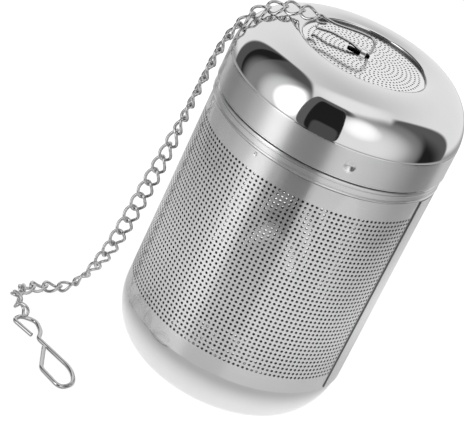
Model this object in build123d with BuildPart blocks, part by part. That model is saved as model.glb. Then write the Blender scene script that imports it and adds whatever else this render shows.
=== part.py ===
from build123d import *
import math
import os

# Tea infuser: a perforated steel cylinder with a twist-lock domed lid, a curb chain and a cup hook.
# Millimetres, +Z up. The origin is on the table, on the cylinder's axis. The chain leaves towards -X.

os.makedirs("parts", exist_ok=True)

# ---------------------------------------------------------------- driving dimensions
sheet = 0.4  # thickness of every pressed sheet
wall_radius = 27.0  # outside of the perforated wall
base_radius = 27.1  # outside of the base cup
lid_radius = 27.6  # outside of the lid's skirt
collar_radius = 27.4  # outside of the turned collar below the lid

cup_top = 12.7  # joint between base cup and wall
wall_top = 65.2  # joint between wall and collar
collar_top = 68.3
rim_z = 68.6  # lower rim of the lid, just above the collar
skirt_top = 75.8  # where the dome starts to round over
crown_z = 87.1  # highest ring of the dome
crown_radius = 16.0  # radius of that ring
lip_width = 1.3  # the lip rolls inwards by this much
lip_drop = 1.7  # and towards the disc by this much

foot_half_width = 0.6  # half of the flat ring that the base stands on
disc_radius = 15.6
disc_top = crown_z - lip_drop

neck_radius = 26.2  # outside of the neck, inside the lid's skirt
neck_top = 75.2
rail_radius = 26.9  # the bead that the dimples lock under
rail_bottom = 73.9
rail_height = 1.0
rail_bevel = 0.3  # above and below the rail's flat face
sleeve_radius = 26.55  # outside of the sleeves that stand inside the wall
sleeve_length = 4.2
cup_neck_length = 3.6
groove_depth = 0.25  # turned lines on the collar
groove_height = 0.3
groove_heights = (wall_top + 0.55, collar_top - 0.85)

dimple_azimuths = (-75.5, 44.5, 164.5)
dimple_z = rim_z + 3.5
dimple_radius = 1.4  # of the mark, seen from outside
dimple_depth = 0.6
notch_width = 4.2

seam_azimuth = -23.7  # visible edge of the wall's lap seam
lap_angle = 19.0  # full-thickness part of the lap
lap_taper_angle = 8.0  # where it runs out to nothing
lap_thickness = 0.35

slot_x = -1.55  # slot in the lid's disc, under the lanced strap
strap_y = 1.05
slot_length = 5.4
slot_width = 2.9
strap_x = -0.5
strap_width = 1.2
strap_thickness = 0.35
strap_gap = 1.125  # clear height under the strap, from the disc's top
strap_crown_half = 0.8  # half of the strap's flat crown
strap_foot = 0.4  # how far each foot laps onto the disc

lid_hook_wire = 0.65
cup_hook_wire = 1.0
cup_hook_lift = 0.03  # clearance between the lying hook and the table
chain_tube = 1.8  # plain solid that stands for the curb chain
bend_share = 0.45  # share of a run that a bend's tangent may take


def polar(radius, azimuth, z=0.0):
    turn = math.radians(azimuth)
    return (radius * math.cos(turn), radius * math.sin(turn), z)


def bend_radii(points):
    """The largest arc that each corner's two runs allow."""
    radii = []
    for a, b, c in zip(points, points[1:], points[2:]):
        first = Vector(*b) - Vector(*a)
        second = Vector(*c) - Vector(*b)
        half_turn = math.radians(first.get_angle(second)) / 2
        radii.append(bend_share * min(first.length, second.length) / math.tan(half_turn))
    return radii


# ---------------------------------------------------------------- lid shell: dome, rolled lip, skirt
cap_radius = (dimple_radius**2 + dimple_depth**2) / (2 * dimple_depth)
cap_centre = lid_radius - dimple_depth + cap_radius
dimple_places = [polar(cap_centre, azimuth, dimple_z) for azimuth in dimple_azimuths]

with BuildPart() as dimple_bumps:
    with Locations(*dimple_places):
        Sphere(cap_radius + sheet)
    with Locations((0, 0, dimple_z)):
        Cylinder(lid_radius - sheet / 2, 4 * cap_radius, mode=Mode.INTERSECT)

with BuildPart() as lid_shell:
    with BuildSketch(Plane.XZ):
        with BuildLine():
            dome_width = lid_radius - crown_radius
            dome_height = crown_z - skirt_top
            centre = (crown_radius, skirt_top)
            lip_centre = (crown_radius, disc_top)
            Line((lid_radius, rim_z), (lid_radius, skirt_top))
            EllipticalCenterArc(centre, dome_width, dome_height, 0, arc_size=90)
            EllipticalCenterArc(lip_centre, lip_width, lip_drop, 90, arc_size=90)
            Line((crown_radius - lip_width, disc_top), (crown_radius - lip_width + sheet, disc_top))
            EllipticalCenterArc(lip_centre, lip_width - sheet, lip_drop - sheet, 90, arc_size=90)
            EllipticalCenterArc(centre, dome_width - sheet, dome_height - sheet, 0, arc_size=90)
            Line((lid_radius - sheet, skirt_top), (lid_radius - sheet, rim_z))
            Line((lid_radius - sheet, rim_z), (lid_radius, rim_z))
        make_face()
    revolve(axis=Axis.Z)
    add(dimple_bumps.part)
    with Locations(*dimple_places):
        Sphere(cap_radius, mode=Mode.SUBTRACT)

lid_shell.part.label = "lid_shell"
export_step(lid_shell.part, "parts/lid_shell.step")

# ---------------------------------------------------------------- lid disc with its lanced strap
slot_half = slot_width / 2
strap_under = disc_top + strap_gap
strap_over = strap_under + strap_thickness

with BuildPart() as lid_disc:
    with BuildSketch(Plane.XY.offset(disc_top - sheet)):
        Circle(disc_radius)
        with Locations((slot_x, strap_y)):
            RectangleRounded(slot_length, slot_width, slot_half / 2, mode=Mode.SUBTRACT)
    extrude(amount=sheet)
    with BuildSketch(Plane.YZ.offset(strap_x - strap_width / 2)):
        with Locations((strap_y, 0)):
            Polygon(
                (-slot_half - strap_foot, disc_top - sheet),
                (-slot_half, disc_top - sheet),
                (-slot_half, disc_top),
                (-strap_crown_half, strap_under),
                (strap_crown_half, strap_under),
                (slot_half, disc_top),
                (slot_half, disc_top - sheet),
                (slot_half + strap_foot, disc_top - sheet),
                (slot_half + strap_foot, disc_top),
                (strap_crown_half, strap_over),
                (-strap_crown_half, strap_over),
                (-slot_half - strap_foot, disc_top),
                align=None,
            )
    extrude(amount=strap_width)

lid_disc.part.label = "lid_disc"
export_step(lid_disc.part, "parts/lid_disc.step")

# ---------------------------------------------------------------- neck ring: neck, rail, collar, sleeve
with BuildPart() as neck_ring:
    with BuildSketch(Plane.XZ):
        Polygon(
            (sleeve_radius - sheet, wall_top - sleeve_length),
            (sleeve_radius, wall_top - sleeve_length),
            (sleeve_radius, wall_top),
            (collar_radius - groove_depth, wall_top),
            (collar_radius, wall_top + groove_depth),
            (collar_radius, collar_top - groove_depth),
            (collar_radius - groove_depth, collar_top),
            (neck_radius, collar_top),
            (neck_radius, rail_bottom),
            (rail_radius, rail_bottom + rail_bevel),
            (rail_radius, rail_bottom + rail_height - rail_bevel),
            (neck_radius, rail_bottom + rail_height),
            (neck_radius, neck_top),
            (neck_radius - sheet, neck_top),
            (neck_radius - sheet, wall_top),
            (sleeve_radius - sheet, wall_top - sheet),
            align=None,
        )
        with Locations(*[(collar_radius, z) for z in groove_heights]):
            Rectangle(2 * groove_depth, groove_height, mode=Mode.SUBTRACT)
    revolve(axis=Axis.Z)
    notch_centre = (neck_radius + lid_radius) / 2
    notch_mid_z = rail_bottom + rail_height / 2
    for azimuth in dimple_azimuths:
        with Locations(Location(polar(notch_centre, azimuth, notch_mid_z), (0, 0, azimuth))):
            Box(lid_radius - neck_radius, notch_width, 2 * rail_height, mode=Mode.SUBTRACT)

neck_ring.part.label = "neck_ring"
export_step(neck_ring.part, "parts/neck_ring.step")

# ---------------------------------------------------------------- basket wall with its lap seam
with BuildPart() as basket_wall:
    with BuildSketch(Plane.XY.offset(cup_top)):
        Circle(wall_radius)
        with BuildLine():
            lap_radius = wall_radius + lap_thickness
            lap_end = seam_azimuth + lap_angle
            Line(polar(wall_radius - sheet / 2, seam_azimuth), polar(lap_radius, seam_azimuth))
            CenterArc((0, 0), lap_radius, seam_azimuth, lap_angle)
            Line(polar(lap_radius, lap_end), polar(wall_radius - sheet / 2, lap_end + lap_taper_angle))
            CenterArc((0, 0), wall_radius - sheet / 2, seam_azimuth, lap_angle + lap_taper_angle)
        make_face()
        Circle(wall_radius - sheet, mode=Mode.SUBTRACT)
    extrude(amount=wall_top - cup_top)

basket_wall.part.label = "basket_wall"
export_step(basket_wall.part, "parts/basket_wall.step")

# ---------------------------------------------------------------- base cup and its disc
with BuildPart() as base_cup:
    with BuildSketch(Plane.XZ):
        with BuildLine():
            foot_outer = crown_radius + foot_half_width
            foot_inner = crown_radius - foot_half_width
            round_width = base_radius - foot_outer
            centre = (foot_outer, cup_top)
            lip_centre = (foot_inner, lip_drop)
            lip_reach = lip_width - foot_half_width
            neck_inner = sleeve_radius - sheet
            EllipticalCenterArc(centre, round_width, cup_top, 270, arc_size=90)
            Polyline(
                (base_radius, cup_top),
                (sleeve_radius, cup_top),
                (sleeve_radius, cup_top + cup_neck_length),
                (neck_inner, cup_top + cup_neck_length),
                (neck_inner, cup_top - sheet),
                (base_radius - sheet, cup_top - sheet),
                (base_radius - sheet, cup_top - 2 * sheet),
            )
            inner_centre = (foot_outer, cup_top - 2 * sheet)
            inner_depth = cup_top - 3 * sheet
            EllipticalCenterArc(inner_centre, round_width - sheet, inner_depth, 270, arc_size=90)
            Line((foot_outer, sheet), (foot_inner, sheet))
            EllipticalCenterArc(lip_centre, lip_reach - sheet, lip_drop - sheet, 180, arc_size=90)
            Line((foot_inner - lip_reach + sheet, lip_drop), (foot_inner - lip_reach, lip_drop))
            EllipticalCenterArc(lip_centre, lip_reach, lip_drop, 180, arc_size=90)
            Line((foot_inner, 0), (foot_outer, 0))
        make_face()
    revolve(axis=Axis.Z)

base_cup.part.label = "base_cup"
export_step(base_cup.part, "parts/base_cup.step")

with BuildPart() as base_disc:
    with BuildSketch(Plane.XY.offset(lip_drop)):
        Circle(disc_radius)
    extrude(amount=sheet)

base_disc.part.label = "base_disc"
export_step(base_disc.part, "parts/base_disc.step")

# ---------------------------------------------------------------- lid hook, in the plane of the strap's middle
lid_hook_route = [
    (-12.35, 86.75),
    (-11.9, 86.3),
    (-9.3, 86.75),
    (-8.5, 86.85),
    (-3.4, 86.55),
    (-1.1, 85.9),
    (0.95, 85.9),
    (1.0, 89.6),
    (-2.4, 89.75),
    (-8.7, 88.95),
    (-10.6, 89.15),
    (-12.6, 89.6),
    (-13.2, 88.0),
    (-11.9, 87.5),
    (-10.6, 88.1),
]
lid_hook_bends = [0.35, 1.5, 1.5, 3.0, 1.6, 0.9, 1.3, 3.0, 3.0, 3.0, 0.7, 0.7, 0.6]

with BuildPart() as lid_hook:
    with BuildLine():
        corners = [(x, strap_y, z) for x, z in lid_hook_route]
        lid_hook_line = FilletPolyline(*corners, radius=lid_hook_bends)
    with BuildSketch(Plane(lid_hook_line @ 0, z_dir=lid_hook_line % 0)):
        Circle(lid_hook_wire / 2)
    sweep()

lid_hook.part.label = "lid_hook"
export_step(lid_hook.part, "parts/lid_hook.step")

# ---------------------------------------------------------------- cup hook, lying on the table
cup_hook_route = [
    (-39.9, -25.6),
    (-45.2, -22.9),
    (-44.3, -20.2),
    (-40.6, -19.3),
    (-38.4, -22.6),
    (-38.2, -25.7),
    (-28.3, -31.4),
    (-26.2, -36.3),
    (-28.5, -40.4),
    (-34.3, -36.4),
    (-36.1, -28.1),
]
cup_hook_bends = [1.0, 1.2, 1.6, 2.6, 1.6, 3.4, 2.6, 2.2, 1.2]
cup_hook_z = cup_hook_wire / 2 + cup_hook_lift

with BuildPart() as cup_hook:
    with BuildLine():
        corners = [(x, y, cup_hook_z) for x, y in cup_hook_route]
        cup_hook_line = FilletPolyline(*corners, radius=cup_hook_bends)
    with BuildSketch(Plane(cup_hook_line @ 0, z_dir=cup_hook_line % 0)):
        Circle(cup_hook_wire / 2)
    sweep()

cup_hook.part.label = "cup_hook"
export_step(cup_hook.part, "parts/cup_hook.step")

# ---------------------------------------------------------------- chain, as three plain tubes end to end
chain_route = [
    (-14.6, 1.1, 88.7),
    (-17.0, 0.6, 88.6),
    (-19.7, 0.1, 88.1),
    (-22.2, -0.4, 87.0),
    (-24.5, -0.9, 85.2),
    (-26.4, -1.5, 82.8),
    (-27.9, -2.1, 79.7),
    (-28.9, -2.5, 76.0),
    (-29.4, -2.7, 71.3),
    (-29.6, -2.9, 65.8),
    (-29.85, -2.95, 59.9),
    (-30.1, -2.9, 53.5),
    (-30.4, -2.8, 45.0),
    (-31.05, -2.5, 35.7),
    (-31.75, -2.2, 27.2),
    (-32.45, -1.9, 19.8),
    (-33.2, -1.4, 14.9),
    (-34.1, -0.9, 11.0),
    (-35.2, -0.7, 7.7),
    (-36.6, -1.0, 4.6),
    (-38.6, -1.9, 2.2),
    (-41.2, -3.3, 1.35),
    (-43.6, -5.3, 1.3),
    (-45.8, -8.0, 1.3),
    (-47.4, -11.2, 1.3),
    (-47.6, -14.6, 1.3),
    (-46.5, -17.3, 1.3),
    (-44.3, -19.5, 1.3),
]
chain_breaks = (8, 17)  # the runs that are cut in the middle, between one tube and the next
chain_names = ("chain_over_lid", "chain_hanging", "chain_on_table")
radii = bend_radii(chain_route)
print("chain bend radii:", [round(radius, 1) for radius in radii])

cuts = [(Vector(*chain_route[i]) + Vector(*chain_route[i + 1])) / 2 for i in chain_breaks]
starts = [chain_route[0], *cuts]
ends = [*cuts, chain_route[-1]]
first_corners = [1, *[i + 1 for i in chain_breaks]]
last_corners = [*chain_breaks, len(chain_route) - 2]

for name, start, end, first, last in zip(chain_names, starts, ends, first_corners, last_corners):
    with BuildPart() as tube:
        with BuildLine():
            corners = [start, *chain_route[first : last + 1], end]
            tube_line = FilletPolyline(*corners, radius=radii[first - 1 : last])
        with BuildSketch(Plane(tube_line @ 0, z_dir=tube_line % 0)):
            Circle(chain_tube / 2)
        sweep()
    section = math.pi * (chain_tube / 2) ** 2
    share = tube.part.volume / (section * tube_line.length)
    print(f"{name}: {tube_line.length:.1f} mm, volume {share:.4f} of section times length")
    tube.part.label = name
    export_step(tube.part, f"parts/{name}.step")
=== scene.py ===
import math

import bmesh
import bpy
from mathutils import Matrix, Vector, geometry


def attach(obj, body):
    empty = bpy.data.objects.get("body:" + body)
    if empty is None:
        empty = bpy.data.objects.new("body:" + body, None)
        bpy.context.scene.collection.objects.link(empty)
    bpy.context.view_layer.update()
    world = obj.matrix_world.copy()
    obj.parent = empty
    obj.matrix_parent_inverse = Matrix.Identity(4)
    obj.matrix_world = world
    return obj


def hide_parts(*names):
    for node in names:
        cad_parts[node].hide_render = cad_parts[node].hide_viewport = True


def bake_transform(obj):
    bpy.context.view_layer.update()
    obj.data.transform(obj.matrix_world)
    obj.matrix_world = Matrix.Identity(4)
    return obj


# Tea infuser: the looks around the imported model. Lengths are in millimetres until they become mesh points.

MM = 0.001
FULL_TURN = 360

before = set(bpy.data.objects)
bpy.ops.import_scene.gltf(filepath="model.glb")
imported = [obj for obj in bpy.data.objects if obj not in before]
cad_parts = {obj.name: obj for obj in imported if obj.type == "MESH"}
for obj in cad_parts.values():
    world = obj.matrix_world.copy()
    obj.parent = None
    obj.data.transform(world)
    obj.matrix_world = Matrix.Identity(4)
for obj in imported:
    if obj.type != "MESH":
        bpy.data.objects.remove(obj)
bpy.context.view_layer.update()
scene = bpy.context.scene
scene.view_settings.view_transform = "Standard"

# ---------------------------------------------------------------- dimensions, as in the CAD model
SHEET = 0.4
WALL_R = 27.0
BASE_R = 27.1
LID_R = 27.6
COLLAR_R = 27.4
CUP_TOP = 12.7
WALL_TOP = 65.2
COLLAR_TOP = 68.3
RIM_Z = 68.6
SKIRT_TOP = 75.8
CROWN_Z = 87.1
CROWN_R = 16.0
LIP_W = 1.3
LIP_DROP = 1.7
DISC_R = 15.6
DISC_TOP = CROWN_Z - LIP_DROP
NECK_R = 26.2
NECK_TOP = 75.2
RAIL_R = 26.9
RAIL_BOTTOM = 73.9
RAIL_HEIGHT = 1.0
RAIL_BEVEL = 0.3
SLEEVE_R = 26.55
SLEEVE_LENGTH = 4.2
CUP_NECK = 3.6
FOOT_HALF = 0.6

DIMPLE_AZIMUTHS = (-75.5, 44.5, 164.5)
DIMPLE_Z = 72.1
DIMPLE_R = 1.4
DIMPLE_DEPTH = 0.46
NOTCH_W = 4.2

SEAM_AZIMUTH = -23.7
LAP_ANGLE = 19.0
LAP_TAPER = 8.0
LAP_STEP = 0.35
GAP_ANGLE = 0.12
GAP_DEPTH = 0.3

HOLE_PITCH = 1.106
HOLE_R = 0.325
HOLE_ROWS = 40
HOLE_TOP = 60.25
HOLE_COLUMNS = 141
FIRST_COLUMN = -26.2

RING_PITCH = 1.02
RINGS = 13
DISC_HOLE_R = 0.25

SLOT = (-1.55, 1.05, 5.4, 2.9)
STRAP_X = -0.5
STRAP_W = 1.25
STRAP_RISE = 1.27

WELD_AZIMUTH = -116.7
WELD_Z = 64.2
WELD_R = 0.5
WELD_HEIGHT = 0.14

LINK_COUNT = 33
LINK_LENGTH = 5.2
LINK_WIDTH = 4.0
LINK_WIRE = 0.74
LINK_TWIST = math.radians(45)
CHAIN_END = 0.35  # from the last link's middle to the end of the route

LID_HOOK_WIRE = 0.65
LID_HOOK_Y = 1.05
CUP_HOOK_WIRE = 1.0
CUP_HOOK_Z = 0.53
BEND_SHARE = 0.48  # the share of a run that a wire's bend may take

RING_STEPS = 240  # points around a turned or pressed piece
SKIRT_ROWS = 26
DISC_SIDES = 120
DISC_HOLE_SIDES = 10
WELD_SIDES = 24
BEND_STEPS = 10
LINK_STEPS = 28

# the camera looks along +Y and down, and its picture is rolled
VIEW_DOWN = math.radians(26.348)
VIEW_ROLL = math.radians(25.693)
VIEW_CENTRE = (-11.379, 0, 37.662)
VIEW_DISTANCE = 0.5  # metres
LENS = 170.38

# radii in metres and the glow at each, for the floor that the metal reflects
GLOW_RINGS = ((0.024, 0.64), (0.043, 0.18), (0.08, 0.42), (0.14, 0.2))

CHAIN_ROUTE = [
    (-14.6, 1.1, 88.7),
    (-17.0, 0.6, 88.6),
    (-19.7, 0.1, 88.1),
    (-22.2, -0.4, 87.0),
    (-24.5, -0.9, 85.2),
    (-26.4, -1.5, 82.8),
    (-27.9, -2.1, 79.7),
    (-28.9, -2.5, 76.0),
    (-29.4, -2.7, 71.3),
    (-29.6, -2.9, 65.8),
    (-29.85, -2.95, 59.9),
    (-30.1, -2.9, 53.5),
    (-30.4, -2.8, 45.0),
    (-31.05, -2.5, 35.7),
    (-31.75, -2.2, 27.2),
    (-32.45, -1.9, 19.8),
    (-33.2, -1.4, 14.9),
    (-34.1, -0.9, 11.0),
    (-35.2, -0.7, 7.7),
    (-36.6, -1.0, 4.6),
    (-38.6, -1.9, 2.2),
    (-41.2, -3.3, 1.35),
    (-43.6, -5.3, 1.3),
    (-45.8, -8.0, 1.3),
    (-47.4, -11.2, 1.3),
    (-47.6, -14.6, 1.3),
    (-46.5, -17.3, 1.3),
    (-44.3, -19.5, 1.3),
]


# ---------------------------------------------------------------- nodes
class Tree:
    """A short way to write a node tree."""

    def __init__(self, tree):
        self.tree = tree

    def node(self, kind, inputs=(), **settings):
        made = self.tree.nodes.new(kind)
        for key, value in settings.items():
            setattr(made, key, value)
        for key, value in dict(inputs).items():
            socket = made.inputs[key]
            if isinstance(value, bpy.types.NodeSocket):
                self.tree.links.new(value, socket)
            else:
                socket.default_value = value
        return made

    def math(self, operation, *values):
        return self.node("ShaderNodeMath", enumerate(values), operation=operation).outputs[0]

    def ramp(self, value, low, high, out_low=0.0, out_high=1.0, smooth=True):
        kind = "SMOOTHSTEP" if smooth else "LINEAR"
        keys = {0: value, 1: low, 2: high, 3: out_low, 4: out_high}
        return self.node("ShaderNodeMapRange", keys, interpolation_type=kind).outputs[0]

    def mix(self, share, low, high):
        """low and high are numbers or sockets."""
        keys = {0: share, 2: low, 3: high}
        return self.node("ShaderNodeMix", keys, data_type="FLOAT").outputs[0]


# ---------------------------------------------------------------- studio: world, floor and camera
def studio_world():
    """A white tent with two soft lamps, each in its dark surround, and a dark gap where the camera stands."""
    world = bpy.data.worlds.new("studio")
    scene.world = world
    world.use_nodes = True
    world.node_tree.nodes.clear()
    t = Tree(world.node_tree)
    way = t.node("ShaderNodeTexCoord").outputs["Generated"]
    xyz = t.node("ShaderNodeSeparateXYZ", {0: way}).outputs
    azimuth = t.math("DEGREES", t.math("ARCTAN2", xyz[1], xyz[0]))
    elevation = t.math("DEGREES", t.math("ARCSINE", xyz[2]))

    above = t.ramp(elevation, 25, 90, 1.12, 0.8)
    level = t.math("MULTIPLY", above, t.ramp(elevation, -19, -9, 0.4, 1.0))
    # centre azimuth and elevation, half width, half height, power, softness, level
    patches = [
        (-70, 66, 90, 20, 2, 0.9, 1.2),
        (197, -15, 55, 82, 2.4, 0.15, 0.12),
        (166, 12, 9, 42, 2.5, 0.5, 0.02),
        (202, -15, 42, 66, 2.4, 0.8, 0.34),
        (-8, -15, 45, 73, 1.65, 0.15, 0.14),
        (6, -22, 34, 56, 1, 0.6, 0.02),
        (-48, -17, 52, 77, 3.5, 0.6, 0.3),
        (-62, -4, 58, 60, 2.2, 1.0, 1.12),
        (-63, 26, 24, 24, 2, 1.0, 1.6),
        (-139, 0, 34, 56, 2.4, 1.0, 1.0),
        (-135, 11, 19, 38, 2, 1.0, 3.0),
        (-90, -75, 300, 57, 8, 0.3, 0.55),
        (-94, 49, 28, 8, 2.5, 0.8, 0.1),
        (-98, -50, 17, 40, 4, 0.6, 0.33),
        (-101, 16, 21, 38, 8, 0.15, 0.15),
        (-97, 14, 17, 36, 8, 0.4, 0.02),
        (-95, -12, 14, 20, 4, 0.6, 0.1),
    ]
    for at, height, half_width, half_height, power, softness, value in patches:
        across = t.math("WRAP", t.math("SUBTRACT", azimuth, at), 180.0, -180.0)
        along = t.math("SUBTRACT", elevation, height)
        parts = []
        for part, half in ((across, half_width), (along, half_height)):
            share = t.math("DIVIDE", t.math("ABSOLUTE", part), half)
            parts.append(t.math("POWER", share, power))
        reach = t.math("ADD", *parts)
        mask = t.ramp(reach, 1 - softness, 1.0, 1.0, 0.0)
        level = t.mix(mask, level, value)
    shade = t.node("ShaderNodeBackground", {"Strength": level})
    plain = t.node("ShaderNodeBackground", {"Color": (0.93, 0.93, 0.93, 1), "Strength": 1.0})
    seen = t.node("ShaderNodeLightPath").outputs["Is Camera Ray"]
    both = t.node("ShaderNodeMixShader", {0: seen, 1: shade.outputs[0], 2: plain.outputs[0]})
    t.node("ShaderNodeOutputWorld", {0: both.outputs[0]})


def stage_plane(name, z, half, glow, colour, rings=()):
    """A square on the floor. rings are radii and glows, which replace glow from the middle outwards."""
    mesh = bpy.data.meshes.new(name)
    corners = [(-half, -half, z), (half, -half, z), (half, half, z), (-half, half, z)]
    mesh.from_pydata(corners, [], [(0, 1, 2, 3)])
    obj = bpy.data.objects.new(name, mesh)
    scene.collection.objects.link(obj)
    material = bpy.data.materials.new(name)
    material.use_nodes = True
    shader = material.node_tree.nodes["Principled BSDF"]
    shader.inputs["Base Color"].default_value = (colour, colour, colour, 1)
    shader.inputs["Roughness"].default_value = 0.8
    shader.inputs["Specular IOR Level"].default_value = 0.0
    shader.inputs["Emission Color"].default_value = (1, 1, 1, 1)
    shader.inputs["Emission Strength"].default_value = glow
    if rings:
        t = Tree(material.node_tree)
        place = t.node("ShaderNodeTexCoord").outputs["Object"]
        reach = t.node("ShaderNodeVectorMath", {0: place}, operation="LENGTH").outputs["Value"]
        level = rings[0][1]
        for (near, near_glow), (far, far_glow) in zip(rings, rings[1:]):
            level = t.math("ADD", level, t.ramp(reach, near, far, 0.0, far_glow - near_glow))
        material.node_tree.links.new(level, shader.inputs["Emission Strength"])
    mesh.materials.append(material)
    return obj


def studio_floor():
    """One white floor for the camera, and just below it the one that the metal reflects."""
    seen = stage_plane("floor", z=0.0, half=3.0, glow=0.85, colour=0.4)
    seen.visible_diffuse = False
    seen.visible_glossy = False
    seen.visible_shadow = False
    felt = stage_plane("floor_bounce", z=-0.0002, half=0.13, glow=0.38, colour=0.6, rings=GLOW_RINGS)
    felt.visible_camera = False


def camera():
    view = Vector((0, math.cos(VIEW_DOWN), -math.sin(VIEW_DOWN)))
    side = Vector((1, 0, 0))
    top = side.cross(view)
    right = math.cos(VIEW_ROLL) * side + math.sin(VIEW_ROLL) * top
    up = -math.sin(VIEW_ROLL) * side + math.cos(VIEW_ROLL) * top
    place = Vector(VIEW_CENTRE) * MM - view * VIEW_DISTANCE
    data = bpy.data.cameras.new("camera")
    data.sensor_width = 36
    data.lens = LENS
    data.clip_start = 0.01
    obj = bpy.data.objects.new("camera", data)
    scene.collection.objects.link(obj)
    turn = Matrix((right, up, -view)).transposed().to_4x4()
    obj.matrix_world = Matrix.Translation(place) @ turn
    scene.camera = obj


# ---------------------------------------------------------------- materials
def steel(name, colour, rough_low, rough_high, grain, bump=0.0, anisotropic=0.0, coat=0.0):
    """Bare steel. grain is the noise's scale along x, y and z in marks per metre."""
    material = bpy.data.materials.new(name)
    material.use_nodes = True
    t = Tree(material.node_tree)
    shader = material.node_tree.nodes["Principled BSDF"]
    place = t.node("ShaderNodeTexCoord").outputs["Object"]
    stretched = t.node("ShaderNodeMapping", {"Vector": place, "Scale": grain}).outputs[0]
    lines = t.node("ShaderNodeTexNoise", {"Vector": stretched, "Scale": 1.0, "Detail": 4.0}).outputs["Fac"]
    clouds = t.node("ShaderNodeTexNoise", {"Vector": place, "Scale": 60.0, "Detail": 3.0}).outputs["Fac"]
    both = t.math("MULTIPLY_ADD", lines, 0.6, t.math("MULTIPLY", clouds, 0.4))
    rough = t.ramp(both, 0.3, 0.7, rough_low, rough_high, smooth=False)
    material.node_tree.links.new(rough, shader.inputs["Roughness"])
    shade = t.ramp(both, 0.25, 0.75, 0.97, 1.0, smooth=False)
    tint = t.node("ShaderNodeVectorMath", {0: colour, 3: shade}, operation="SCALE").outputs[0]
    material.node_tree.links.new(tint, shader.inputs["Base Color"])
    shader.inputs["Metallic"].default_value = 1.0
    if bump:
        relief = t.node("ShaderNodeBump", {"Strength": 1.0, "Distance": bump * MM, "Height": lines})
        material.node_tree.links.new(relief.outputs[0], shader.inputs["Normal"])
    if anisotropic:
        shader.inputs["Anisotropic"].default_value = anisotropic
        shader.inputs["Anisotropic Rotation"].default_value = 0.25
        tangent = t.node("ShaderNodeTangent", direction_type="RADIAL", axis="Z")
        material.node_tree.links.new(tangent.outputs[0], shader.inputs["Tangent"])
    if coat:
        shader.inputs["Coat Weight"].default_value = coat
        shader.inputs["Coat Roughness"].default_value = 0.06
        shader.inputs["Coat IOR"].default_value = 2.8
    return material


STEEL = (0.80, 0.80, 0.805)
ROUND = (300, 300, 300)
TURNED = (15, 15, 9000)

mirror = steel("mirror_steel", STEEL, 0.02, 0.06, ROUND)
brushed = steel("brushed_steel", STEEL, 0.36, 0.42, TURNED, bump=0.001, anisotropic=0.97)
turned = steel("turned_steel", STEEL, 0.25, 0.33, TURNED, bump=0.001, anisotropic=0.95)
rolled = steel("rolled_steel", STEEL, 0.24, 0.28, TURNED, anisotropic=0.95, coat=1.0)
polished = steel("polished_steel", STEEL, 0.04, 0.08, ROUND)
flat = steel("flat_steel", (0.92, 0.92, 0.925), 0.08, 0.14, ROUND)
# painted shade: a dark copy of the steel, put on insides, hole walls and recesses where shade falls
painted_shade = steel("painted_shade_steel", (0.2, 0.2, 0.205), 0.35, 0.5, ROUND)
satin = steel("satin_steel", STEEL, 0.22, 0.3, ROUND)
# painted shade: a darker copy of the steel for the neck's inside, which is in shade
inner = steel("painted_shade_inner_steel", (0.5, 0.5, 0.505), 0.28, 0.36, TURNED)
wire = steel("wire_steel", (0.62, 0.62, 0.625), 0.06, 0.12, ROUND)


# ---------------------------------------------------------------- mesh helpers
def place_mesh(name, points, faces, materials, body, nodes, groups=None, angle=32):
    """A smooth-shaded piece that stands for these CAD nodes. groups gives each face its material."""
    mesh = bpy.data.meshes.new(name)
    mesh.from_pydata([Vector(p) * MM for p in points], [], faces)
    for material in materials:
        mesh.materials.append(material)
    if groups:
        mesh.polygons.foreach_set("material_index", groups)
    work = bmesh.new()
    work.from_mesh(mesh)
    bmesh.ops.recalc_face_normals(work, faces=work.faces)
    work.to_mesh(mesh)
    work.free()
    mesh.polygons.foreach_set("use_smooth", [True] * len(mesh.polygons))
    mesh.set_sharp_from_angle(angle=math.radians(angle))
    obj = bpy.data.objects.new(name, mesh)
    scene.collection.objects.link(obj)
    if body:
        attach(obj, body)
    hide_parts(*nodes)
    return obj


def polar(radius, azimuth, z):
    turn = math.radians(azimuth)
    return (radius * math.cos(turn), radius * math.sin(turn), z)


def past(azimuth, other):
    """How far an azimuth is past another, from -180 to 180 degrees."""
    return (azimuth - other + 180) % FULL_TURN - 180


def arc(centre, width, height, start, end, steps):
    """Points of an ellipse's arc in (radius, z), from start to end in degrees."""
    turns = [math.radians(start + (end - start) * i / steps) for i in range(steps + 1)]
    return [(centre[0] + width * math.cos(a), centre[1] + height * math.sin(a)) for a in turns]


def revolve(profile, azimuths, shape=None):
    """A closed ring: the closed profile in (radius, z) at each azimuth. shape may move a point."""
    points = []
    for azimuth in azimuths:
        for radius, z in profile:
            if shape:
                radius = shape(radius, z, azimuth)
            points.append(polar(radius, azimuth, z))
    count, turns = len(profile), len(azimuths)
    faces = []
    for i in range(turns):
        j = (i + 1) % turns
        for k in range(count):
            m = (k + 1) % count
            faces.append((i * count + k, j * count + k, j * count + m, i * count + m))
    return points, faces


def even_azimuths(steps):
    return [FULL_TURN * i / steps for i in range(steps)]


def skin(points, count):
    """Faces of a solid made of rings of count points each, one after the other, with a face on each end."""
    last = len(points) - count
    faces = []
    for first in range(0, last, count):
        for k in range(count):
            m = (k + 1) % count
            faces.append((first + k, first + m, first + count + m, first + count + k))
    faces.append(tuple(range(count - 1, -1, -1)))
    faces.append(tuple(range(last, last + count)))
    return faces


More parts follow.
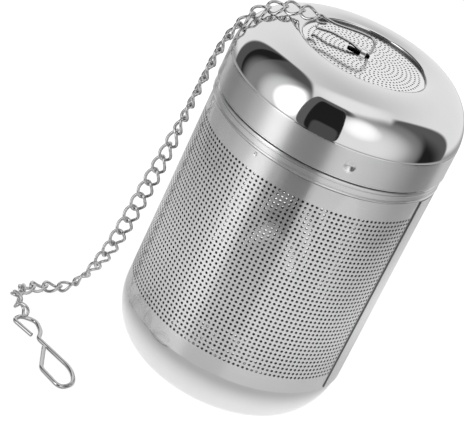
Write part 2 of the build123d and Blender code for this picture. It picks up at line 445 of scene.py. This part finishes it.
def tube(path, radius, sides, closed=False):
    """Points and faces of a round wire along a path of Vectors, with flat ends where it is open."""
    count = len(path)
    points = []
    normal = None
    for i, place in enumerate(path):
        if closed:
            ahead = path[(i + 1) % count] - path[i - 1]
        else:
            ahead = path[min(i + 1, count - 1)] - path[max(i - 1, 0)]
        ahead = ahead.normalized()
        if normal is None:
            normal = ahead.orthogonal().normalized()
        normal = (normal - ahead * normal.dot(ahead)).normalized()
        other = ahead.cross(normal)
        for k in range(sides):
            a = 2 * math.pi * k / sides
            points.append(place + radius * (math.cos(a) * normal + math.sin(a) * other))
    if not closed:
        return points, skin(points, sides)
    # the last ring comes back turned, so it joins the first at the nearest side
    last = points[(count - 1) * sides]
    shift = min(range(sides), key=lambda k: (points[k] - last).length)
    faces = []
    for i in range(count):
        j = (i + 1) % count
        turn = shift if j == 0 else 0
        for k in range(sides):
            m = (k + 1) % sides
            a, b = (k + turn) % sides, (m + turn) % sides
            faces.append((i * sides + k, i * sides + m, j * sides + b, j * sides + a))
    return points, faces


def smooth_line(points, resolution):
    """Points along the NURBS spline whose control points these are, in the same unit."""
    curve = bpy.data.curves.new("line", "CURVE")
    curve.dimensions = "3D"
    curve.resolution_u = resolution
    spline = curve.splines.new("NURBS")
    spline.points.add(len(points) - 1)
    for point, co in zip(spline.points, points):
        point.co = (*co, 1)
    spline.order_u = 3
    spline.use_endpoint_u = True
    holder = bpy.data.objects.new("line", curve)
    scene.collection.objects.link(holder)
    mesh = bpy.data.meshes.new_from_object(holder)
    line = [v.co.copy() for v in mesh.vertices]
    bpy.data.objects.remove(holder)
    bpy.data.curves.remove(curve)
    bpy.data.meshes.remove(mesh)
    return line


# ---------------------------------------------------------------- lid
def lid_shell():
    low, high_row = RIM_Z + 0.52, SKIRT_TOP - 0.25
    skirt_rows = [low + (high_row - low) * i / SKIRT_ROWS for i in range(SKIRT_ROWS + 1)]
    crease = 0.03
    centre = (CROWN_R, SKIRT_TOP)
    wide, high = LID_R - crease - CROWN_R, CROWN_Z - SKIRT_TOP
    # the dome's top rolls gently inwards, then folds down sharply to the disc
    roll = [
        (17.9, 86.93),
        (17.4, 86.97),
        (16.9, 86.96),
        (16.4, 86.88),
        (15.9, 86.72),
        (15.5, 86.53),
        (15.15, 86.33),
        (14.9, 86.14),
        (14.76, 85.98),
        (14.7, 85.82),
    ]
    outer = arc((LID_R - 0.14, RIM_Z + 0.3), 0.2, 0.2, -90, 50, 8)
    outer += [(LID_R, z) for z in skirt_rows]
    outer += [(LID_R - 0.01, SKIRT_TOP - 0.15), (LID_R - 0.02, SKIRT_TOP - 0.05)]
    skirt_count = len(outer)
    outer += arc(centre, wide, high, 0, 78, 62)
    outer += [*roll, (CROWN_R - LIP_W, DISC_TOP + 0.1), (CROWN_R - LIP_W + 0.06, DISC_TOP + 0.01)]
    inner = [(CROWN_R - LIP_W + SHEET, DISC_TOP + 0.01)]
    inner += [(radius + SHEET * 0.6, z - SHEET * 0.8) for radius, z in reversed(roll[:-3])]
    inner += arc(centre, wide - SHEET, high - SHEET, 76, 0, 36)
    inner += [(LID_R - SHEET, z) for z in reversed(skirt_rows)]
    inner += [(LID_R - SHEET + 0.03, RIM_Z + 0.14), (LID_R - SHEET + 0.12, RIM_Z + 0.1)]
    profile = outer + inner

    azimuths = set(even_azimuths(RING_STEPS))
    for at in DIMPLE_AZIMUTHS:
        azimuths |= {(at + 0.3 * i) % FULL_TURN for i in range(-16, 17)}
    azimuths = sorted(azimuths)

    def pressed(radius, z, azimuth):
        if z > SKIRT_TOP or radius < LID_R - SHEET - 0.01:
            return radius
        for at in DIMPLE_AZIMUTHS:
            across = math.radians(past(azimuth, at)) * LID_R
            reach = math.hypot(across, z - DIMPLE_Z) / DIMPLE_R
            if reach < 1:
                radius -= DIMPLE_DEPTH * (1 - reach**2) ** 1.5
        return radius

    points, faces = revolve(profile, azimuths, pressed)
    # up the skirt, over the dome, then the lip's fold and the inside, which carry the painted shade, and last
    # the rim's two lowest faces
    one_turn = [1] * skirt_count + [0] * (len(outer) - skirt_count - 3) + [2] * (len(inner) + 1) + [1] * 2
    groups = one_turn * len(azimuths)
    for number, face in enumerate(faces):
        if groups[number] == 1:
            mean = Vector([sum(points[i][axis] for i in face) / 4 for axis in range(3)])
            if any((mean - Vector(polar(LID_R, at, DIMPLE_Z))).length < DIMPLE_R for at in DIMPLE_AZIMUTHS):
                groups[number] = 3
    place_mesh(
        "lid_spun_shell",
        points,
        faces,
        [mirror, brushed, painted_shade, satin],
        "lid",
        ["lid_shell"],
        groups,
    )


def ring_holes(free):
    """Centres of the disc's holes: one in the middle, then rings, where free(x, y) allows one."""
    centres = [(0.0, 0.0)]
    for ring in range(1, RINGS + 1):
        for i in range(6 * ring):
            x, y, _ = polar(RING_PITCH * ring, 60 * i / ring + 7 * ring, 0)
            centres.append((x, y))
    return [c for c in centres if free(*c)]


def slot_outline(x, y, length, width):
    """The rounded slot's outline, anticlockwise."""
    corner = width / 4
    outline = []
    for sx, sy, start in ((1, 1, 0), (-1, 1, 90), (-1, -1, 180), (1, -1, 270)):
        cx, cy = x + sx * (length / 2 - corner), y + sy * (width / 2 - corner)
        for i in range(7):
            px, py, _ = polar(corner, start + 15 * i, 0)
            outline.append((cx + px, cy + py))
    return outline


def pierced_disc(radius, top, thickness, holes, slot=()):
    """Points, faces and face groups (0 is the top) of a flat disc with round holes and a slot's outline."""
    loops = [[polar(radius, a, 0)[:2] for a in even_azimuths(DISC_SIDES)]]
    for x, y in holes:
        around = [polar(DISC_HOLE_R, a, 0) for a in even_azimuths(DISC_HOLE_SIDES)]
        loops.append([(x + px, y + py) for px, py, _ in around])
    if slot:
        loops.append(slot)
    flat_points, edges = [], []
    for loop in loops:
        first = len(flat_points)
        flat_points += [Vector(p) for p in loop]
        edges += [(first + i, first + (i + 1) % len(loop)) for i in range(len(loop))]
    verts, _, tris, *_ = geometry.delaunay_2d_cdt(flat_points, edges, [], 0, 1e-5)
    cells = {}
    for x, y in holes:
        cells.setdefault((math.floor(x), math.floor(y)), []).append((x, y))
    kept = []
    for tri in tris:
        cx = sum(verts[i].x for i in tri) / 3
        cy = sum(verts[i].y for i in tri) / 3
        near = []
        for i in (-1, 0, 1):
            for j in (-1, 0, 1):
                near += cells.get((math.floor(cx) + i, math.floor(cy) + j), [])
        in_hole = any(math.hypot(cx - x, cy - y) < DISC_HOLE_R * 0.96 for x, y in near)
        if not in_hole and not in_loop(cx, cy, slot) and math.hypot(cx, cy) < radius:
            kept.append(tri)
    count = len(verts)
    points = [(v.x, v.y, top) for v in verts] + [(v.x, v.y, top - thickness) for v in verts]
    faces = [tuple(tri) for tri in kept] + [tuple(i + count for i in reversed(tri)) for tri in kept]
    sides = set()
    for tri in kept:
        sides |= set(zip(tri, (*tri[1:], tri[0])))
    faces += [(b, a, a + count, b + count) for a, b in sorted(sides) if (b, a) not in sides]
    groups = [0] * len(kept) + [1] * (len(faces) - len(kept))
    return points, faces, groups


def in_loop(x, y, loop):
    inside = False
    for (x0, y0), (x1, y1) in zip(loop, [*loop[1:], *loop[:1]]):
        if (y0 > y) != (y1 > y) and x < (x1 - x0) * (y - y0) / (y1 - y0) + x0:
            inside = not inside
    return inside


def strap():
    """The strip that was lanced up out of the lid's disc, across the slot."""
    _, y, _, width = SLOT
    half = width / 2
    steps = [
        (half + 0.5, -0.14),
        (half + 0.05, -0.12),
        (half - 0.3, 0.3),
        (half - 0.7, 0.85),
        (half - 1.1, STRAP_RISE),
    ]
    rise = [(STRAP_X, y - across, DISC_TOP + up) for across, up in steps]
    fall = [(STRAP_X, y + across, DISC_TOP + up) for across, up in reversed(steps)]
    line = smooth_line([*rise, *fall], 6)
    # share of the width, and height
    section = [
        (-0.5, -0.1),
        (-0.46, -0.17),
        (0.46, -0.17),
        (0.5, -0.1),
        (0.5, 0.1),
        (0.46, 0.17),
        (-0.46, 0.17),
        (-0.5, 0.1),
    ]
    points = []
    for i, place in enumerate(line):
        ahead = (line[min(i + 1, len(line) - 1)] - line[max(i - 1, 0)]).normalized()
        up = Vector((1, 0, 0)).cross(ahead)
        for across, over in section:
            points.append(place + Vector((across * STRAP_W, 0, 0)) + up * over)
    return points, skin(points, len(section))


def joined(*solids):
    points, faces = [], []
    for more_points, more_faces in solids:
        first = len(points)
        points += list(more_points)
        faces += [tuple(i + first for i in face) for face in more_faces]
    return points, faces


def lid_disc():
    x0, y0, length, width = SLOT

    def free(x, y):
        in_slot = abs(x - x0) < length / 2 + 0.45 and abs(y - y0) < width / 2 + 0.45
        at_feet = abs(x - STRAP_X) < 0.9 and abs(y - y0) < width / 2 + 0.95
        return not in_slot and not at_feet

    points, faces, groups = pierced_disc(DISC_R, DISC_TOP, SHEET, ring_holes(free), slot_outline(*SLOT))
    strip = strap()
    groups += [0] * len(strip[1])
    points, faces = joined((points, faces), strip)
    # the disc's top and the strap are flat steel; its underside and hole walls carry the painted shade
    place_mesh(
        "lid_disc_pierced", points, faces, [flat, painted_shade], "lid", ["lid_disc"], groups, 40
    )


def bent_wire(name, route, diameter, body, node, bends):
    """A bent wire. bends say how far before and after each inner corner of the route its rounding goes."""
    line = [Vector(route[0])]
    for before, at, after, bend in zip(route, route[1:], route[2:], bends):
        corner = Vector(at)
        back, on = Vector(before) - corner, Vector(after) - corner
        start = corner + back * min(bend / back.length, BEND_SHARE)
        end = corner + on * min(bend / on.length, BEND_SHARE)
        for i in range(BEND_STEPS + 1):
            t = i / BEND_STEPS
            line.append(start * (1 - t) ** 2 + corner * (2 * t * (1 - t)) + end * t**2)
    line.append(Vector(route[-1]))
    points, faces = tube(line, diameter / 2, 14)
    return place_mesh(name, points, faces, [wire], body, [node], angle=50)


# the lid hook's route in x and z, and the cup hook's in x and y
LID_HOOK_ROUTE = [
    (-12.35, 86.75),
    (-11.9, 86.3),
    (-9.3, 86.75),
    (-8.5, 86.85),
    (-3.4, 86.55),
    (-1.1, 85.9),
    (0.95, 85.9),
    (1.0, 89.6),
    (-2.4, 89.75),
    (-8.7, 88.95),
    (-10.6, 89.15),
    (-12.6, 89.6),
    (-13.2, 88.0),
    (-11.9, 87.5),
    (-10.6, 88.1),
]
LID_HOOK_BENDS = [0.3, 0.8, 0.4, 1.1, 0.9, 1.0, 1.8, 1.6, 1.4, 0.9, 0.8, 0.7, 0.6]
CUP_HOOK_ROUTE = [
    (-39.9, -25.6),
    (-45.2, -22.9),
    (-44.3, -20.2),
    (-40.6, -19.3),
    (-38.4, -22.6),
    (-38.2, -25.7),
    (-28.3, -31.4),
    (-26.2, -36.3),
    (-28.5, -40.4),
    (-34.3, -36.4),
    (-36.1, -28.1),
]
CUP_HOOK_BENDS = [1.1, 1.2, 1.6, 1.4, 0.8, 2.4, 2.4, 2.1, 1.0]


# ---------------------------------------------------------------- neck ring
def neck_ring():
    grooves = [(WALL_TOP + 0.95, 0.2), (COLLAR_TOP - 0.8, 0.2)]
    ledge = COLLAR_TOP + 0.03
    recess = [
        (COLLAR_R - 0.6, WALL_TOP),
        (COLLAR_R - 0.6, WALL_TOP + 0.25),
        (COLLAR_R - 0.18, WALL_TOP + 0.25),
    ]
    outer = [(SLEEVE_R, WALL_TOP - SLEEVE_LENGTH), (SLEEVE_R, WALL_TOP), *recess]
    outer += arc((COLLAR_R - 0.18, WALL_TOP + 0.49), 0.23, 0.23, -85, 60, 10)
    for z, height in grooves:
        outer += [
            (COLLAR_R, z - height / 2 - 0.04),
            (COLLAR_R - 0.05, z - height / 2),
            (COLLAR_R - 0.2, z - height / 4),
            (COLLAR_R - 0.2, z + height / 4),
            (COLLAR_R - 0.05, z + height / 2),
            (COLLAR_R, z + height / 2 + 0.04),
        ]
    outer += arc((COLLAR_R - 0.25, ledge - 0.25), 0.25, 0.25, 0, 90, 5)
    collar_count = len(outer)
    outer += [
        (NECK_R, ledge),
        (NECK_R, RAIL_BOTTOM),
        (RAIL_R, RAIL_BOTTOM + RAIL_BEVEL),
        (RAIL_R, RAIL_BOTTOM + RAIL_HEIGHT - RAIL_BEVEL),
        (NECK_R, RAIL_BOTTOM + RAIL_HEIGHT),
        (NECK_R, NECK_TOP - 0.1),
        (NECK_R - 0.1, NECK_TOP),
    ]
    inside = [
        (NECK_R - SHEET + 0.1, NECK_TOP),
        (NECK_R - SHEET, NECK_TOP - 0.1),
        (NECK_R - SHEET, WALL_TOP),
        (SLEEVE_R - SHEET, WALL_TOP - SHEET),
        (SLEEVE_R - SHEET, WALL_TOP - SLEEVE_LENGTH),
    ]
    half_notch = math.degrees(NOTCH_W / 2 / NECK_R)
    azimuths = set(even_azimuths(RING_STEPS))
    for at in DIMPLE_AZIMUTHS:
        for side in (-1, 1):
            azimuths |= {(at + side * (half_notch + step)) % FULL_TURN for step in (-0.15, 0.15)}
    azimuths = sorted(azimuths)

    def notched(radius, z, azimuth):
        if RAIL_BOTTOM - 0.01 < z < NECK_TOP - 0.2 and radius > NECK_R:
            for at in DIMPLE_AZIMUTHS:
                if abs(past(azimuth, at)) < half_notch:
                    return NECK_R
        return radius

    points, faces = revolve(outer + inside, azimuths, notched)
    groups = [0] * len(outer) + [2] * len(inside)
    # the recess and the ledge under the lid's rim carry the painted shade, and the inside the painted shade
    # inner steel
    for k in (1, 2, 3, collar_count - 1):
        groups[k] = 1
    groups *= len(azimuths)
    place_mesh(
        "neck_ring_turned",
        points,
        faces,
        [turned, painted_shade, inner],
        "basket",
        ["neck_ring"],
        groups,
        28,
    )


# ---------------------------------------------------------------- perforated wall
def weld_mark():
    """The small round spot weld on the plain strip, sunk a little into the sheet."""
    middle = Vector(polar(WALL_R, WELD_AZIMUTH, WELD_Z))
    out = Vector(polar(1, WELD_AZIMUTH, 0))
    side, up = Vector((-out.y, out.x, 0)), Vector((0, 0, 1))
    rings = [
        (1.0, -0.12),
        (1.0, 0.0),
        (0.82, WELD_HEIGHT),
        (0.55, WELD_HEIGHT * 0.9),
        (0.3, WELD_HEIGHT * 0.3),
    ]
    points = []
    for share, rise in rings:
        for azimuth in even_azimuths(WELD_SIDES):
            x, y, _ = polar(WELD_R * share, azimuth, 0)
            points.append(middle + side * x + up * y + out * rise)
    return points, skin(points, WELD_SIDES)


def basket_wall():
    half = math.degrees(HOLE_PITCH / WALL_R) / 2
    lowest = HOLE_TOP - HOLE_PITCH * (HOLE_ROWS - 1)
    # columns of points: two for each column of holes, then those of the plain strip
    angles = [FIRST_COLUMN + half - half * i for i in range(2 * HOLE_COLUMNS + 1)]
    last = angles[-1] + FULL_TURN
    lap_end = SEAM_AZIMUTH + LAP_ANGLE
    taper_end = lap_end + LAP_TAPER
    strip = [SEAM_AZIMUTH + beyond for beyond in (-GAP_ANGLE - 0.02, -GAP_ANGLE, 0.0, 0.02, 0.12)]
    strip += [SEAM_AZIMUTH + 0.12 + (lap_end - SEAM_AZIMUTH - 0.12) * i / 16 for i in range(1, 17)]
    strip += [lap_end + LAP_TAPER * i / 8 for i in range(1, 9)]
    strip += [taper_end + (last - taper_end) * i / 3 for i in range(1, 3)]
    plain = sorted(strip, reverse=True)
    columns = angles + [a - FULL_TURN for a in plain]
    total = len(columns)

    def outside(azimuth):
        a = past(azimuth, SEAM_AZIMUTH)
        if -GAP_ANGLE - 0.01 < a < 0.01:
            return WALL_R - GAP_DEPTH
        if a < 0 or a > LAP_ANGLE + LAP_TAPER:
            return WALL_R
        if a < 0.05:
            return WALL_R + LAP_STEP * 0.7
        if a <= LAP_ANGLE:
            return WALL_R + LAP_STEP
        return WALL_R + LAP_STEP * (1 - (a - LAP_ANGLE) / LAP_TAPER)

    grid = [lowest - HOLE_PITCH / 2 + HOLE_PITCH / 2 * i for i in range(2 * HOLE_ROWS + 1)]
    below = [CUP_TOP + (grid[0] - CUP_TOP) * i / 4 for i in range(4)]
    above = [grid[-1] + (WALL_TOP - grid[-1]) * i / 5 for i in range(1, 6)]
    rows = below + grid + above
    first_row = len(below)

    points, index = [], {}
    for inside in (0, 1):
        for i, azimuth in enumerate(columns):
            radius = WALL_R - SHEET if inside else outside(azimuth)
            for j, z in enumerate(rows):
                odd = i < 2 * HOLE_COLUMNS and i % 2 == 1
                at_hole = odd and 0 <= j - first_row < 2 * HOLE_ROWS and (j - first_row) % 2 == 1
                if at_hole:
                    continue
                index[(inside, i, j)] = len(points)
                points.append(polar(radius, azimuth, z))
    faces = []
    # each hole is an octagon in a square of eight grid points
    ring = [(1, 0), (1, 1), (0, 1), (-1, 1), (-1, 0), (-1, -1), (0, -1), (1, -1)]
    for i in range(total):
        k = (i + 1) % total
        for j in range(len(rows) - 1):
            holed = i < 2 * HOLE_COLUMNS and 0 <= j - first_row < 2 * HOLE_ROWS
            if holed:
                continue
            faces.append((index[(0, i, j)], index[(0, k, j)], index[(0, k, j + 1)], index[(0, i, j + 1)]))
            faces.append((index[(1, i, j)], index[(1, i, j + 1)], index[(1, k, j + 1)], index[(1, k, j)]))
        for j in (0, len(rows) - 1):
            faces.append((index[(0, i, j)], index[(0, k, j)], index[(1, k, j)], index[(1, i, j)]))
    for column in range(HOLE_COLUMNS):
        i = 2 * column + 1
        azimuth = columns[i]
        for row in range(HOLE_ROWS):
            j = first_row + 2 * row + 1
            z = rows[j]
            rims = []
            for inside in (0, 1):
                radius = WALL_R - SHEET if inside else WALL_R
                start = len(points)
                for side, rise in ring:
                    reach = HOLE_R / math.hypot(side, rise)
                    turn = azimuth - math.degrees(side * reach / WALL_R)
                    points.append(polar(radius, turn, z + rise * reach))
                rims.append(start)
                for k in range(8):
                    m = (k + 1) % 8
                    a = index[(inside, i + ring[k][0], j + ring[k][1])]
                    b = index[(inside, i + ring[m][0], j + ring[m][1])]
                    faces.append((a, b, start + m, start + k))
            for k in range(8):
                m = (k + 1) % 8
                faces.append((rims[0] + k, rims[0] + m, rims[1] + m, rims[1] + k))
    # the sheet's inside and the holes' walls carry the painted shade
    groups = [int(any(math.hypot(*points[i][:2]) < WALL_R - SHEET / 2 for i in face)) for face in faces]
    mark = weld_mark()
    groups += [0] * len(mark[1])
    points, faces = joined((points, faces), mark)
    place_mesh(
        "basket_wall_pierced",
        points,
        faces,
        [rolled, painted_shade],
        "basket",
        ["basket_wall"],
        groups,
        40,
    )


# ---------------------------------------------------------------- base
def base_cup():
    foot_outer, foot_inner = CROWN_R + FOOT_HALF, CROWN_R - FOOT_HALF
    base_r = WALL_R + 0.01
    wide = base_r - foot_outer
    reach = LIP_W - FOOT_HALF
    neck_inner = SLEEVE_R - SHEET
    profile = [(foot_outer, 0.0)]
    profile += arc((foot_outer, CUP_TOP), wide, CUP_TOP, 270, 360, 60)[1:-1]
    profile += [
        (base_r, CUP_TOP),
        (SLEEVE_R, CUP_TOP),
        (SLEEVE_R, CUP_TOP + CUP_NECK),
        (neck_inner, CUP_TOP + CUP_NECK),
        (neck_inner, CUP_TOP - SHEET),
        (BASE_R - SHEET, CUP_TOP - SHEET),
    ]
    outer_count = len(profile) - 3
    profile += arc((foot_outer, CUP_TOP - 2 * SHEET), wide - SHEET, CUP_TOP - 3 * SHEET, 360, 270, 30)
    profile += arc((foot_inner, LIP_DROP), reach - SHEET, LIP_DROP - SHEET, 270, 180, 8)
    inner_count = len(profile) - outer_count
    profile += arc((foot_inner, LIP_DROP), reach, LIP_DROP, 180, 270, 12)
    lip_count = len(profile) - outer_count - inner_count
    points, faces = revolve(profile, even_azimuths(RING_STEPS))
    # the cup's inside carries the painted shade
    groups = ([0] * outer_count + [1] * inner_count + [0] * lip_count) * RING_STEPS
    place_mesh(
        "base_cup_pressed", points, faces, [polished, painted_shade], "basket", ["base_cup"], groups
    )


def base_disc():
    points, faces, groups = pierced_disc(DISC_R, LIP_DROP + SHEET, SHEET, ring_holes(lambda x, y: True))
    # the disc's top, inside the basket, carries the painted shade; its underside and hole walls are flat
    # steel
    place_mesh(
        "base_disc_pierced",
        points,
        faces,
        [painted_shade, flat],
        "basket",
        ["base_disc"],
        groups,
        40,
    )


# ---------------------------------------------------------------- chain
def along(line, distance):
    """The point and direction at a distance along a line of points."""
    left = distance
    for a, b in zip(line, line[1:]):
        run = (b - a).length
        if left <= run:
            return a + (b - a) * (left / run), (b - a).normalized()
        left -= run
    return line[-1].copy(), (line[-1] - line[-2]).normalized()


def keyed(keys, at):
    """The value at a place, eased from each key to the next."""
    for (a, low), (b, high) in zip(keys, keys[1:]):
        if at <= b:
            share = max(0.0, (at - a) / (b - a))
            return low + (high - low) * share * share * (3 - 2 * share)
    return keys[-1][1]


# millimetres along the chain, and how far a link there is turned about it from facing FRONT, in degrees
ROLL = [
    (0, 35),
    (9, 40),
    (18, 80),
    (34, 88),
    (43, 75),
    (49, 45),
    (56, 25),
    (62, 5),
    (72, -5),
    (78, -25),
    (84, -40),
    (88, -62),
    (92, -92),
    (96, -112),
    (100, -118),
    (120, -118),
]
FRONT = Vector((0, -0.896, 0.444))


def chain():
    line = smooth_line([Vector(p) for p in CHAIN_ROUTE], 12)
    length = sum((b - a).length for a, b in zip(line, line[1:]))
    half_long = (LINK_LENGTH - LINK_WIRE) / 2
    half_wide = (LINK_WIDTH - LINK_WIRE) / 2
    solids = []
    for i in range(LINK_COUNT):
        at = (length - CHAIN_END) * i / (LINK_COUNT - 1)
        centre, _ = along(line, at)
        back, _ = along(line, max(at - half_long, 0.0))
        fore, _ = along(line, min(at + half_long, length))
        ahead = (fore - back).normalized()
        side = FRONT.cross(ahead).normalized()
        face = ahead.cross(side)
        roll = math.radians(keyed(ROLL, at))
        across = math.cos(roll) * side + math.sin(roll) * face
        over = ahead.cross(across)
        loop = []
        for k in range(LINK_STEPS):
            a = 2 * math.pi * k / LINK_STEPS
            twist = -LINK_TWIST * math.cos(a)
            wide = half_wide * math.sin(a)
            turned_out = math.cos(twist) * across + math.sin(twist) * over
            loop.append(centre + ahead * (half_long * math.cos(a)) + turned_out * wide)
        lift = max(0.0, LINK_WIRE / 2 - min(p.z for p in loop))
        loop = [p + Vector((0, 0, lift)) for p in loop]
        solids.append(tube(loop, LINK_WIRE / 2, 10, closed=True))
    points, faces = joined(*solids)
    nodes = ["chain_over_lid", "chain_hanging", "chain_on_table"]
    obj = place_mesh("curb_chain", points, faces, [wire], None, nodes, angle=60)
    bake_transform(obj)


# ---------------------------------------------------------------- all of it
studio_world()
studio_floor()
camera()

far_route = [(x, y, CUP_HOOK_Z) for x, y in CUP_HOOK_ROUTE]
far_hook = bent_wire("cup_hook_wire", far_route, CUP_HOOK_WIRE, "cup_hook", "cup_hook", CUP_HOOK_BENDS)
near_route = [(x, LID_HOOK_Y, z) for x, z in LID_HOOK_ROUTE]
bent_wire("lid_hook_wire", near_route, LID_HOOK_WIRE, "lid_hook", "lid_hook", LID_HOOK_BENDS)
chain()
lid_shell()
lid_disc()
neck_ring()
basket_wall()
base_cup()
base_disc()
